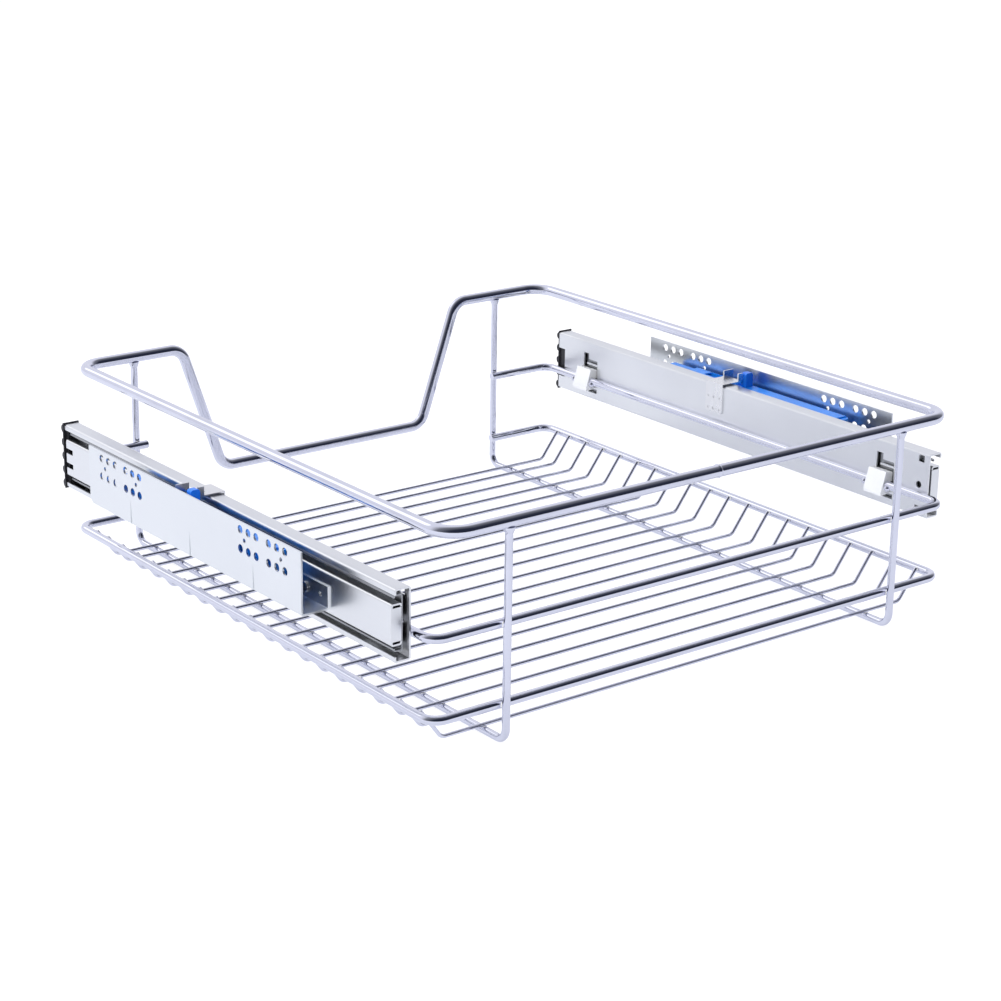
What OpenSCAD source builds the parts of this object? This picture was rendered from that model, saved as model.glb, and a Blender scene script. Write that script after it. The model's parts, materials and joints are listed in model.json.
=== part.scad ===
/* [Basket] */
// Half width of the top rail, wire centre
rail_half_width = 208; // [190:1:214]
// Half depth of the top rail, wire centre
rail_half_depth = 219; // [215:1:240]
// Height of the top rail, wire centre
rail_height = 142; // [130:1:180]
// Diameter of the top rail wire
rail_wire = 8; // [6:0.5:10]
// Bend radius of the top rail at its four corners
rail_corner_radius = 17; // [12:1:30]
// Half width of the front dip where it leaves the top rail
dip_top_half_width = 124; // [110:1:140]
// Half width of the front dip at its low wire
dip_low_half_width = 91; // [70:1:100]
// Height of the low wire of the front dip
dip_height = 47; // [40:1:90]
// Bend radius of the four bends of the dip
dip_bend_radius = 13; // [10:1:16]
// Length of the butt weld bead at the middle of the rear
bead_length = 2.4; // [1:0.2:5]
// How far the butt weld bead stands above the wire
bead_rise = 0.4; // [0.2:0.1:1]

/* [Rings and frame] */
// Diameter of the middle and lower ring wire
ring_wire = 6; // [5:0.5:7]
// Height of the middle ring, wire centre
middle_ring_height = 77; // [74:1:82]
// Height of the lower ring, wire centre
lower_ring_height = 25.5; // [22:0.5:32]
// Half width of the lower ring, wire centre
lower_ring_half_width = 214; // [206:1:220]
// Bend radius of both rings at their corners
ring_corner_radius = 10; // [8:1:20]
// How far each open ring end runs past its front upright
ring_end_overrun = 6; // [4:1:15]
// Diameter of the two frame wires that the basket stands on
frame_wire = 5; // [4:0.5:6]
// Half spacing of the two frame wires
frame_half_spacing = 163; // [140:1:175]
// Bend radius of the frame wires
frame_bend_radius = 8; // [6:1:14]
// Height of the weld flare at the top of an upright
flare_height = 4; // [3:0.5:6]
// How much wider than the upright its weld flare gets
flare_width = 2.4; // [1:0.2:3]
// Depth of a weld, by which joined wires sink into each other
weld_depth = 0.3; // [0.1:0.1:0.5]

/* [Floor wires] */
// Diameter of a floor wire
floor_wire = 2.6; // [2:0.2:3.2]
// Half width of the flat stretch of a floor wire
floor_bend_half_width = 195; // [185:1:198]
// Bend radius of a floor wire
floor_bend_radius = 6; // [4:1:10]
// Number of floor wires
floor_wire_count = 20; // [12:1:21]
// Distance between neighbouring floor wires
floor_pitch = 20.95; // [18:0.05:21]
// Distance between the first two floor wires at the front
floor_first_gap = 15.5; // [10:0.5:20]
// Depth position of the rearmost floor wire
floor_last_y = 197.5; // [190:0.5:200]

/* [Slides] */
// Distance from the middle plane to the inner face of a basket rail
slide_x = 217.2; // [212:0.2:218]
// Depth position of the middle of a basket rail
slide_y = -3; // [-6:0.5:6]
// Height of a basket rail's underside
slide_z = 61; // [60:0.5:63]
// Height of a basket rail
slide_height = 46; // [45:0.5:46.5]
// Thickness of a whole slide
slide_thickness = 12.7; // [12.7:0.1:14]
// Length of a basket rail
slide_length = 400; // [390:5:420]
// Sheet thickness of the basket and cabinet rails
rail_sheet = 1.2; // [1:0.1:1.4]
// Sheet thickness of the middle rail
middle_sheet = 1; // [0.8:0.1:1.2]
// How much shorter the middle rail is than the basket rail, at each end
middle_short = 4; // [3:0.5:8]
// Depth of the lips that close the ball tracks
lip_depth = 2.6; // [2:0.1:3]
// Diameter of an outer ball
outer_ball = 3.8; // [3:0.1:3.8]
// Diameter of an inner ball
inner_ball = 3.6; // [3:0.1:3.6]
// Running clearance on each side of a ball
ball_clearance = 0.05; // [0.03:0.01:0.08]
// Balls in one row of a cage
balls_per_row = 9; // [5:1:10]
// Distance between the balls of a row
ball_pitch = 20; // [14:1:20]
// Sheet thickness of a ball cage
cage_sheet = 0.6; // [0.4:0.1:0.6]
// How far a cage runs past its end balls
cage_end = 6; // [4:1:10]

/* [Clips and windows] */
// Depth position of the front edge of the front window
front_window_y = -171.5; // [-176:0.5:-150]
// Depth position of the front edge of the rear window
rear_window_y = 148.5; // [140:0.5:152]
// Width of a window
window_width = 16.5; // [14:0.5:17]
// Height of a window
window_height = 21; // [19:0.5:23]
// Height of a window's lower edge above the rail's underside
window_low = 15.5; // [15:0.5:18]
// Height of the tab that hangs into a window from its top
window_tab = 4.5; // [4:0.1:6]
// Width of the open slot in front of that tab
window_slot = 6; // [4:0.5:8]
// Width of a wire clip
clip_width = 16.5; // [14:0.5:18]
// Height of a wire clip
clip_height = 17; // [16:0.5:18]
// How far a clip stands in front of the web at its upper end
clip_top_reach = 4.6; // [4:0.1:5.5]
// How far a clip stands in front of the web at its lower end
clip_reach = 9; // [8.5:0.1:11]
// How far a clip is pushed forward from its window
clip_slide = 2.5; // [1:0.5:4]
// Diameter of a stop nub
nub_diameter = 4.4; // [3.4:0.2:5]

/* [Hook bracket] */
// Depth position of the hook bracket's front edge
hook_y = -27; // [-30:0.5:-24]
// Width of the hook bracket
hook_width = 18; // [14:0.5:19]
// Height of the hook bracket's plate on the web
hook_drop = 22; // [17:0.5:26]
// Sheet thickness of the hook bracket
hook_sheet = 1.2; // [1:0.1:1.4]
// How far the hook bracket's top reaches out past the slide
hook_reach = 6; // [5:0.1:6.3]
// Height of the front ear above the hook bracket's top
front_ear_height = 4.4; // [3:0.2:6]
// Height of the rear ear above the hook bracket's top
rear_ear_height = 6; // [4:0.2:7]

/* [Mounting bracket] */
// Distance from the middle plane to the face that meets the cabinet side
bracket_x = 250; // [248:0.5:256]
// Depth position of the bracket's front end
bracket_front_y = -128; // [-140:0.5:-125]
// Length of the bracket
bracket_length = 259; // [256:0.5:290]
// Height of the bracket's underside
bracket_z = 74; // [73:0.5:76]
// Height of the outer plate
plate_height = 40.8; // [40:0.2:48]
// Sheet thickness of the bracket
bracket_sheet = 1.2; // [1:0.1:1.5]
// Height of the leg that is riveted to the cabinet rail
leg_height = 14.8; // [13.5:0.1:20]
// Radius of the plate's lower front corner
plate_corner_radius = 6; // [3:0.5:10]
// Diameter of a screw hole
screw_hole = 5.5; // [4:0.1:6]
// Diameter of a small locating hole
locating_hole = 3; // [2:0.1:3.4]
// Distance between neighbouring screw holes
hole_pitch = 9; // [8:0.5:9.5]
// Distance between the two clusters of a hole group
system_pitch = 32; // [30:0.5:34]
// Distance between the front and rear hole groups
group_pitch = 174; // [160:1:180]
// Depth position of the first screw hole
first_hole_y = -110.5; // [-118:0.5:-104]
// Distance from the plate's top edge to the upper hole row
upper_row_drop = 5; // [4.6:0.1:6]
// Distance between the two hole rows
row_pitch = 12.4; // [11:0.1:13]
// Diameter of a rivet shank
rivet_shank = 4; // [3:0.2:5]
// Diameter of a rivet head
rivet_head = 7; // [6:0.2:8]
// Height of a rivet head
rivet_head_height = 1.2; // [0.8:0.1:1.4]

/* [Soft close] */
// Depth position of the housing's front end
housing_front_y = -93.5; // [-100:0.5:-88]
// Length of the housing
housing_length = 188; // [180:1:198]
// Gap between the housing and the leg of the mounting bracket
housing_gap = 2.7; // [2.1:0.1:4]
// Width of the housing
housing_width = 11.4; // [11:0.1:12.4]
// Height of the housing
housing_height = 27; // [25:0.5:28]
// Wall thickness of the housing
housing_wall = 1.2; // [1:0.1:1.4]
// Radius of the housing's rounded rear end
housing_round = 4; // [2:0.5:5]
// Length of the lower tongue at the housing's front
tongue_length = 26; // [15:1:28]
// How much lower the tongue is
tongue_drop = 1.6; // [0.6:0.1:2]
// Travel of the catch
catch_travel = 40; // [30:1:42]
// Depth position of the catch post's middle
catch_y = -8.3; // [-9.5:0.1:-7]
// Length of the catch post
post_length = 5; // [3:0.5:6]
// Width of the catch post
post_width = 7; // [5:0.1:7.2]
// Height of the catch post above the housing
post_height = 10.5; // [8:0.5:12]
// Radius of the catch post's top edges
post_round = 2; // [1:0.2:2.4]
// Length of the catch carriage
carriage_length = 34; // [28:1:36]
// Outer diameter of the damper cylinder
damper_diameter = 8.4; // [7:0.2:8.4]
// Wall thickness of the damper cylinder
damper_wall = 1; // [0.8:0.1:1.2]
// Length of the damper cylinder
damper_length = 70; // [64:1:72]
// Diameter of the damper rod
damper_rod = 3; // [2:0.2:4]
// Outer diameter of the return spring
spring_diameter = 6; // [5:0.2:7]
// Wire diameter of the return spring
spring_wire = 0.8; // [0.6:0.1:1]

/* [Hidden] */
$fn = 48;
touch_gap = 0.2;
free_gap = 0.3;
cut_over = 1;
swell_rise = 0.05;
swell_gap = 0.15;
aligned_limit = 0.000001;
ring_inset = (frame_wire + ring_wire) / 2 - weld_depth;
ring_half_depth = rail_half_depth - ring_inset;
ring_end_x = frame_half_spacing - ring_end_overrun;
middle_ring_half_width = slide_x - ring_wire / 2 - touch_gap;
runner_z = frame_wire / 2;
upright_drop = 1;
upright_top = rail_height - upright_drop;
floor_z = frame_wire + floor_wire / 2 - weld_depth;
floor_end_x = lower_ring_half_width - ring_wire / 2 - weld_depth;
floor_end_z = lower_ring_height + floor_wire / 2;

slide_front = slide_y - slide_length / 2;
slide_rear = slide_y + slide_length / 2;
slide_mid_z = slide_z + slide_height / 2;
slide_top = slide_z + slide_height;
outer_track = outer_ball + 2 * ball_clearance;
inner_track = inner_ball + 2 * ball_clearance;
side_play = 1.1;
basket_rail_width = slide_thickness - side_play;
middle_rail_half = slide_height / 2 - rail_sheet - outer_track;
middle_rail_width = 6.5;
middle_lip = 1.2;
cabinet_rail_half = middle_rail_half - middle_sheet - inner_track;
cage_gap = 0.9;
outer_cage_x = rail_sheet + cage_gap;
outer_cage_reach = 7.9;
middle_rail_x = outer_cage_x + cage_sheet + touch_gap;
inner_cage_x = middle_rail_x + middle_sheet + touch_gap;
inner_cage_reach = 4;
cabinet_flange_x = inner_cage_x + cage_sheet + free_gap;
outer_ball_x = 6.4;
inner_ball_x = 6.5;
outer_ball_z = middle_rail_half + outer_track / 2;
inner_ball_z = cabinet_rail_half + inner_track / 2;
cage_hole_play = 0.2;
row_length = (balls_per_row - 1) * ball_pitch;
cabinet_rail_short = 4;
bend_radius = 1.6;
inner_bend = 0.5;

notch_depth = 7.4;
notch_low = 10.6;
notch_height = 22.8;
bumper_plate = 1.2;
bumper_rim = 0.8;
bumper_lobe = 6;
bumper_lobe_reach = 3.3;
bumper_plug = 3;
plug_play = 0.2;
lining = 0.9;
lining_margin = 1.5;
lobe_count = 5;

strip_height = 1.6;
strip_drop = 3.1;
strip_inset = 3;
strip_sink = 0.4;
foot_slot_z = 5.5;
foot_slot_height = 3.5;
foot_slot_inset = 3.5;

end_hole = 4.8;
end_hole_inset = 8.4;
end_hole_drop = 0.2;
square_hole = 5.1;
square_hole_inset = 4.6;
square_hole_drop = 1.7;
end_slot_length = 4;
end_slot_height = 3.2;
end_slot_inset = 7;
end_slot_z = 4.4;
rail_end_inset = 2.6;
rail_notch_length = 9;
rail_notch_height = 3.6;
rail_notch_spacing = 10.4;
rail_notch_z = -7;

clip_gap = 0.1;
clip_hold = 0.7;
clip_drop = 4.5;
clip_chin = 2.4;
clip_bevel = 0.4;
clip_back_chin = 1.4;
clip_back_drop = 0.6;
clip_bore_play = 0.05;
tongue_low = 2.5;
tongue_height = 6.5;
tongue_root = 1;
tongue_hook = 6;
nub_sink = 1.6;
nub_inset = 0.6;

hook_top = slide_top + touch_gap;
hook_end_x = slide_x + slide_thickness + hook_reach;
rear_ear_start = hook_end_x - 4.2;
front_ear_start = hook_end_x - 3;
ear_play = 0.5;
front_ear_inset = 1;
hook_corner = 2.4;
hook_shoulder = 6;
dimple_diameter = 1.4;
mark_diameter = 2.6;
dimple_depth = 0.4;
dimple_spacing = 12;
dimple_low = 3;
dimple_rise = 9;
slit_inset = 1.6;
slit_width = 0.8;
slit_length = 6;

leg_x = slide_x + slide_thickness;
plate_x = bracket_x - bracket_sheet;
plate_top = bracket_z + plate_height;
bracket_rear_y = bracket_front_y + bracket_length;
upper_row_z = plate_top - upper_row_drop;
rivet_inset = 24;
rivet_play = 0.05;
foot_length = 16;
rivet_drop = 6.8;
rivet_z = bracket_z + leg_height - rivet_drop;
spare_hole = 3.4;
spare_hole_inset = 8;
dart_spacing = 75.2;
dart_first = 55.5;
dart_width = 2.4;
dart_height = 18;
dart_reach = 1.6;
dart_depth = 0.9;

housing_x = leg_x + bracket_sheet + housing_gap;
housing_lift = 1.8;
housing_edge = 1;
foot_inset = 2;
housing_z = bracket_z + bracket_sheet + housing_lift;
housing_top = housing_z + housing_height;
housing_rear_y = housing_front_y + housing_length;
slot_play = 0.4;
post_x = housing_x + housing_width - housing_wall - slot_play - post_width / 2;
rear_ear_end = post_x - post_width / 2 - ear_play;
front_ear_end = post_x + post_width / 2 - front_ear_inset;
carriage_front_y = catch_y - carriage_length / 2;
carriage_rear_y = catch_y + carriage_length / 2;
damper_x = housing_x + housing_wall + damper_diameter / 2 + free_gap;
damper_z = housing_z + housing_wall + damper_diameter / 2 + free_gap;
damper_rear_y = housing_rear_y - housing_round;
rod_grip = 6;
damper_front_y = damper_rear_y - damper_length;
piston_length = 6;
spring_x = housing_x + housing_width / 2;
spring_z = housing_top - tongue_drop - housing_wall - spring_diameter / 2;

// ---------- wires ----------

function unit(v) = v / norm(v);
function bend_angle(u, v) = acos(max(-1, min(1, u * v)));
function bend_setback(u, v, r) = r * tan(bend_angle(u, v) / 2);

// A straight round bar between two points
module bar(a, b, d) {
    run = b - a;
    translate(a)
        rotate([0, acos(run.z / norm(run)), atan2(run.y, run.x)])
            cylinder(d = d, h = norm(run));
}

// A round bend at a corner point, from direction u to direction v
module bend(corner, u, v, r, d) {
    turn = bend_angle(u, v);
    inward = unit(v - (u * v) * u);
    axis = cross(u, inward);
    centre = corner - u * bend_setback(u, v, r) + inward * r;
    multmatrix([
        [-inward.x, u.x, axis.x, centre.x],
        [-inward.y, u.y, axis.y, centre.y],
        [-inward.z, u.z, axis.z, centre.z],
        [0, 0, 0, 1]
    ])
        rotate_extrude(angle = turn)
            translate([r, 0])
                circle(d = d);
}

// Is a direction along one of the three axes?
function square_on(v) = max(abs(v.x), abs(v.y), abs(v.z)) > 1 - aligned_limit;

// A wire through a list of corner points, each with its bend radius.
// Where a bend leaves the three axes, its two ends swell a little, as where the bending die grips.
module wire(points, radii, d, closed = false) {
    count = len(points);
    function at(i) = points[(i + count) % count];
    function heading(i) = unit(at(i + 1) - at(i));
    function bent(i) = closed || (i > 0 && i < count - 1);
    function setback(i) = bent(i) ? bend_setback(heading(i - 1), heading(i), radii[i]) : 0;
    function swollen(i) = bent(i) && !(square_on(heading(i - 1)) && square_on(heading(i)));
    function bar_inset(i) = setback(i) + (swollen(i) ? swell_gap : 0);
    for (i = [0 : closed ? count - 1 : count - 2])
        bar(at(i) + heading(i) * bar_inset(i), at(i + 1) - heading(i) * bar_inset((i + 1) % count), d);
    for (i = [0 : count - 1])
        if (bent(i)) {
            bend(at(i), heading(i - 1), heading(i), radii[i], d);
            if (swollen(i))
                for (end = [at(i) - heading(i - 1) * setback(i), at(i) + heading(i) * setback(i)])
                    translate(end)
                        rotate([0, 0, 90])
                            sphere(d = d + 2 * swell_rise);
        }
}

function reversed(list) = [for (i = [len(list) - 1 : -1 : 0]) list[i]];
function mirrored_x(points) = [for (p = reversed(points)) [-p.x, p.y, p.z]];
function same(count, value) = [for (i = [1 : count]) value];

module top_rail() {
    right = [
        [dip_low_half_width, -rail_half_depth, dip_height],
        [dip_top_half_width, -rail_half_depth, rail_height],
        [rail_half_width, -rail_half_depth, rail_height],
        [rail_half_width, rail_half_depth, rail_height]
    ];
    bends = [dip_bend_radius, dip_bend_radius, rail_corner_radius, rail_corner_radius];
    points = concat(right, mirrored_x(right));
    color("lightsteelblue") {
        wire(points, concat(bends, reversed(bends)), rail_wire, true);
        translate([-bead_length / 2, rail_half_depth, rail_height])
            rotate([0, 90, 0])
                cylinder(d = rail_wire + 2 * bead_rise, h = bead_length);
    }
}

// A ring that is open at the front
module open_ring(half_width, height) {
    right = [
        [ring_end_x, -ring_half_depth, height],
        [half_width, -ring_half_depth, height],
        [half_width, ring_half_depth, height]
    ];
    wire(concat(right, mirrored_x(right)), same(2 * len(right), ring_corner_radius), ring_wire);
}

module middle_ring() {
    color("lightsteelblue")
        open_ring(middle_ring_half_width, middle_ring_height);
}

module lower_ring() {
    color("lightsteelblue")
        open_ring(lower_ring_half_width, lower_ring_height);
}

// Rear upright, runner and front upright in one wire, with a weld flare at each top
module frame_wire_loop(x) {
    points = [
        [x, -rail_half_depth, upright_top],
        [x, -rail_half_depth, runner_z],
        [x, rail_half_depth, runner_z],
        [x, rail_half_depth, upright_top]
    ];
    color("lightsteelblue")
        difference() {
            union() {
                wire(points, same(len(points), frame_bend_radius), frame_wire);
                for (y = [-rail_half_depth, rail_half_depth])
                    translate([x, y, upright_top - flare_height])
                        cylinder(d1 = frame_wire, d2 = frame_wire + flare_width, h = flare_height);
            }
            for (y = [-rail_half_depth, rail_half_depth])
                x_pin(x - rail_wire, x + rail_wire, y, rail_height, rail_wire - 2 * weld_depth);
        }
}

function floor_wire_y(i) = i < floor_wire_count - 1
    ? floor_last_y - i * floor_pitch
    : floor_last_y - (i - 1) * floor_pitch - floor_first_gap;

module floor_wires() {
    right = [
        [floor_bend_half_width, 0, floor_z],
        [floor_end_x, 0, floor_end_z]
    ];
    points = concat(mirrored_x(right), right);
    color("lightsteelblue")
        for (i = [0 : floor_wire_count - 1])
            translate([0, floor_wire_y(i), 0])
                wire(points, same(len(points), floor_bend_radius), floor_wire);
}

// ---------- sides ----------

// Draws its children on the right side as they are, and mirrored on the left side
module on_side(side) {
    if (side == "right")
        children();
    else
        mirror([1, 0, 0])
            children();
}

// A rounded rectangle from a low to a high corner
module round_rect(low, high, r) {
    translate([low.x + r, low.y])
        square([high.x - low.x - 2 * r, high.y - low.y]);
    translate([low.x, low.y + r])
        square([high.x - low.x, high.y - low.y - 2 * r]);
    for (x = [low.x + r, high.x - r])
        for (y = [low.y + r, high.y - r])
            translate([x, y])
                circle(r = r);
}

// Runs a profile drawn in X and Z along Y from a front to a rear position
module along_y(front, rear) {
    translate([0, rear, 0])
        rotate([90, 0, 0])
            linear_extrude(height = rear - front)
                children();
}

// A box from a low to a high corner
module block(low, high) {
    translate(low)
        cube(high - low);
}

// A round bar along X
module x_pin(x0, x1, y, z, d) {
    translate([x0, y, z])
        rotate([0, 90, 0])
            cylinder(d = d, h = x1 - x0);
}

// A round bar along Y
module y_pin(y0, y1, x, z, d) {
    translate([x, y1, z])
        rotate([90, 0, 0])
            cylinder(d = d, h = y1 - y0);
}

// Places its children in the slide's own frame: X from the web's inner face, Z from the slide's middle
module in_slide() {
    translate([slide_x, 0, slide_mid_z])
        children();
}

// ---------- slide ----------

// A channel that opens to +X, with lips that turn inward
module channel_profile(x0, width, half, sheet, lip) {
    difference() {
        round_rect([x0, -half], [x0 + width, half], min(bend_radius, sheet + inner_bend));
        round_rect([x0 + sheet, -half + sheet], [x0 + width - sheet, half - sheet], inner_bend);
        translate([x0 + width - sheet - cut_over / 2, -half + sheet + lip])
            square([sheet + cut_over, 2 * (half - sheet - lip)]);
    }
}

// A box cut through the web, from a low to a high corner in Y and Z above the rail's underside
module web_cut(low, high) {
    block([-cut_over, low[0], low[1] - slide_height / 2],
          [rail_sheet + cut_over, high[0], high[1] - slide_height / 2]);
}

module window_cuts(window_y) {
    top = window_low + window_height;
    rear = window_y + window_width;
    difference() {
        web_cut([window_y, window_low], [rear, top]);
        web_cut([window_y + window_slot, top - window_tab], [rear + cut_over, top + cut_over]);
    }
    web_cut([window_y + foot_slot_inset, foot_slot_z], [rear, foot_slot_z + foot_slot_height]);
}

// The lanced strip across a window
module window_strip(window_y) {
    strip_z = window_low + window_height - window_tab - strip_drop - strip_height - slide_height / 2;
    block([rail_sheet - strip_sink, window_y + strip_inset, strip_z],
          [rail_sheet + strip_sink, window_y + window_width + cut_over, strip_z + strip_height]);
}

module basket_rail(side) {
    color("gainsboro")
        on_side(side)
            in_slide() {
                difference() {
                    along_y(slide_front, slide_rear)
                        channel_profile(0, basket_rail_width, slide_height / 2, rail_sheet, lip_depth);
                    for (y = [front_window_y, rear_window_y])
                        window_cuts(y);
                    web_cut([slide_front - cut_over, notch_low],
                            [slide_front + notch_depth, notch_low + notch_height]);
                    x_pin(-cut_over, rail_sheet + cut_over, slide_rear - end_hole_inset, -end_hole_drop,
                          end_hole);
                    web_cut([slide_rear - square_hole_inset - square_hole,
                             slide_height - square_hole_drop - square_hole],
                            [slide_rear - square_hole_inset, slide_height - square_hole_drop]);
                    web_cut([slide_rear - end_slot_inset - end_slot_length, end_slot_z],
                            [slide_rear - end_slot_inset, end_slot_z + end_slot_height]);
                }
                for (y = [front_window_y, rear_window_y])
                    window_strip(y);
            }
}

module middle_rail(side) {
    color("silver")
        on_side(side)
            in_slide()
                along_y(slide_front + middle_short, slide_rear - middle_short)
                    channel_profile(middle_rail_x, middle_rail_width, middle_rail_half, middle_sheet,
                                    middle_lip);
}

module cabinet_rail(side) {
    front = slide_front + cabinet_rail_short;
    rear = slide_rear - cabinet_rail_short / 2;
    end_half = cabinet_rail_half - rail_end_inset;
    color("gainsboro")
        on_side(side)
            in_slide()
                difference() {
                    union() {
                        along_y(front, rear)
                            translate([slide_thickness, 0])
                                mirror([1, 0])
                                    channel_profile(0, slide_thickness - cabinet_flange_x, cabinet_rail_half,
                                                    rail_sheet, middle_lip);
                        block([cabinet_flange_x + free_gap, rear - rail_sheet, -end_half],
                              [slide_thickness - rail_sheet / 2, rear, end_half]);
                    }
                    for (z = [rail_notch_z, rail_notch_z + rail_notch_spacing])
                        block([slide_thickness - rail_sheet - cut_over, front - cut_over, z],
                              [slide_thickness + cut_over, front + rail_notch_length, z + rail_notch_height]);
                    for (y = rivet_places())
                        x_pin(slide_thickness - rail_sheet - cut_over, slide_thickness + cut_over, y,
                              rivet_z - slide_mid_z, rivet_shank + 2 * rivet_play);
                }
}

// A cage: a flat strip with a flange at its top and bottom, each holding one row of balls
module ball_cage(x0, reach, ball_x, ball_z, ball) {
    half_length = row_length / 2 + cage_end;
    difference() {
        along_y(slide_y - half_length, slide_y + half_length)
            union() {
                translate([x0, -ball_z - cage_sheet / 2])
                    square([cage_sheet, 2 * ball_z + cage_sheet]);
                for (z = [-ball_z, ball_z])
                    translate([x0, z - cage_sheet / 2])
                        square([reach, cage_sheet]);
            }
        ball_places(ball_x, 0)
            translate([0, 0, -ball_z - cut_over])
                cylinder(d = ball + 2 * cage_hole_play, h = 2 * (ball_z + cut_over));
    }
}

module ball_places(x, z) {
    for (i = [0 : balls_per_row - 1])
        translate([x, slide_y + i * ball_pitch - row_length / 2, z])
            children();
}

module ball_rows(ball_x, ball_z, ball) {
    for (z = [-ball_z, ball_z])
        ball_places(ball_x, z)
            sphere(d = ball);
}

module outer_cage(side) {
    color("darkgray")
        on_side(side)
            in_slide()
                ball_cage(outer_cage_x, outer_cage_reach, outer_ball_x, outer_ball_z, outer_ball);
}

module inner_cage(side) {
    color("darkgray")
        on_side(side)
            in_slide()
                ball_cage(inner_cage_x, inner_cage_reach, inner_ball_x, inner_ball_z, inner_ball);
}

module outer_balls(side) {
    color("white")
        on_side(side)
            in_slide()
                ball_rows(outer_ball_x, outer_ball_z, outer_ball);
}

module inner_balls(side) {
    color("white")
        on_side(side)
            in_slide()
                ball_rows(inner_ball_x, inner_ball_z, inner_ball);
}

function lobe_z(i) = (bumper_lobe - slide_height) / 2 + i * (slide_height - bumper_lobe) / (lobe_count - 1);

// The end cap of a basket rail: plate, plug between the lips, lining behind the notch, and lobes in front
module bumper(side) {
    half = slide_height / 2;
    outer = basket_rail_width + bumper_rim;
    color("black")
        on_side(side)
            in_slide() {
                block([0, slide_front - bumper_plate, -half - bumper_rim],
                      [outer, slide_front, half + bumper_rim]);
                block([rail_sheet + plug_play, slide_front - bumper_plate / 2, -half + rail_sheet + plug_play],
                      [basket_rail_width - rail_sheet - plug_play, slide_front + bumper_plug,
                       half - rail_sheet - plug_play]);
                block([rail_sheet, slide_front, notch_low - half - lining_margin],
                      [rail_sheet + lining, slide_front + notch_depth + lining_margin,
                       notch_low + notch_height - half + lining_margin]);
                difference() {
                    for (i = [0 : lobe_count - 1])
                        x_pin(0, outer, slide_front - bumper_lobe_reach + bumper_lobe / 2, lobe_z(i),
                              bumper_lobe);
                    block([-cut_over, slide_front, -half - bumper_lobe],
                          [outer + cut_over, slide_front + bumper_lobe, half + bumper_lobe]);
                }
            }
}

// ---------- clips ----------

module wire_clip(window_y) {
    front = window_y - clip_slide;
    rear = front + clip_width;
    ring_z = middle_ring_height - slide_mid_z;
    low = ring_z - ring_wire / 2 - clip_drop;
    tongue_z = window_low - slide_height / 2 + tongue_low;
    difference() {
        union() {
            along_y(front, rear)
                polygon([
                    [-touch_gap, low + clip_height - clip_back_drop],
                    [-clip_top_reach, low + clip_height],
                    [-clip_reach, low + clip_chin],
                    [-clip_reach + clip_bevel, low],
                    [-touch_gap, low + clip_back_chin]
                ]);
            block([-tongue_root, window_y + touch_gap, tongue_z],
                  [rail_sheet + clip_hold, rear, tongue_z + tongue_height]);
            block([rail_sheet + clip_gap, window_y - tongue_hook, tongue_z],
                  [rail_sheet + clip_hold, rear, tongue_z + tongue_height]);
        }
        y_pin(front - cut_over, rear + cut_over, middle_ring_half_width - slide_x, ring_z,
              ring_wire + 2 * clip_bore_play);
    }
}

module wire_clips(side) {
    color("white")
        on_side(side)
            in_slide()
                for (y = [front_window_y, rear_window_y])
                    wire_clip(y);
}

// Small beads welded on the middle ring, one each side of each clip
module stop_nubs() {
    nub_x = middle_ring_half_width - ring_wire / 2 + nub_inset;
    nub_z = middle_ring_height - nub_sink;
    color("lightsteelblue")
        for (side = ["left", "right"])
            on_side(side)
                for (window = [front_window_y, rear_window_y])
                    for (y = [window - clip_slide - nub_diameter / 2 - free_gap,
                              window - clip_slide + clip_width + nub_diameter / 2 + free_gap])
                        translate([nub_x, y, nub_z])
                            sphere(d = nub_diameter);
}

// ---------- hook bracket ----------

module hook_bracket(side) {
    inner = slide_x - hook_sheet;
    mid_y = hook_y + hook_width / 2;
    plate_low = hook_top - hook_drop;
    rear_y = hook_y + hook_width;
    face_z = hook_top + hook_sheet;
    color("gainsboro")
        on_side(side)
            difference() {
                union() {
                    translate([inner, 0, 0])
                        rotate([90, 0, 90])
                            linear_extrude(height = hook_sheet)
                                union() {
                                    round_rect([hook_y, plate_low], [rear_y, hook_top], hook_corner);
                                    translate([hook_y, hook_top - hook_shoulder])
                                        square([hook_width, hook_shoulder + hook_sheet]);
                                }
                    block([inner, hook_y, hook_top], [hook_end_x, rear_y, face_z]);
                    block([front_ear_start, hook_y, hook_top],
                          [front_ear_end, hook_y + hook_sheet, face_z + front_ear_height]);
                    block([rear_ear_start, rear_y - hook_sheet, hook_top],
                          [rear_ear_end, rear_y, face_z + rear_ear_height]);
                }
                for (z = [plate_low + dimple_low, plate_low + dimple_low + dimple_rise]) {
                    for (y = [mid_y - dimple_spacing / 2, mid_y + dimple_spacing / 2])
                        x_pin(inner - cut_over, inner + dimple_depth, y, z, dimple_diameter);
                    x_pin(inner - cut_over, inner + dimple_depth, mid_y, z + dimple_depth, mark_diameter);
                }
                block([leg_x - slit_inset - slit_width, mid_y - slit_length / 2, face_z - dimple_depth],
                      [leg_x - slit_inset, mid_y + slit_length / 2, face_z + cut_over]);
            }
}

// ---------- mounting bracket ----------

function rivet_places() = [
    bracket_front_y + rivet_inset,
    bracket_front_y + bracket_length / 2,
    bracket_rear_y - rivet_inset
];

function hole_offsets() = concat(
    [for (i = [0 : 2]) i * hole_pitch],
    [for (i = [0 : 2]) system_pitch + i * hole_pitch]
);

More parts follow.
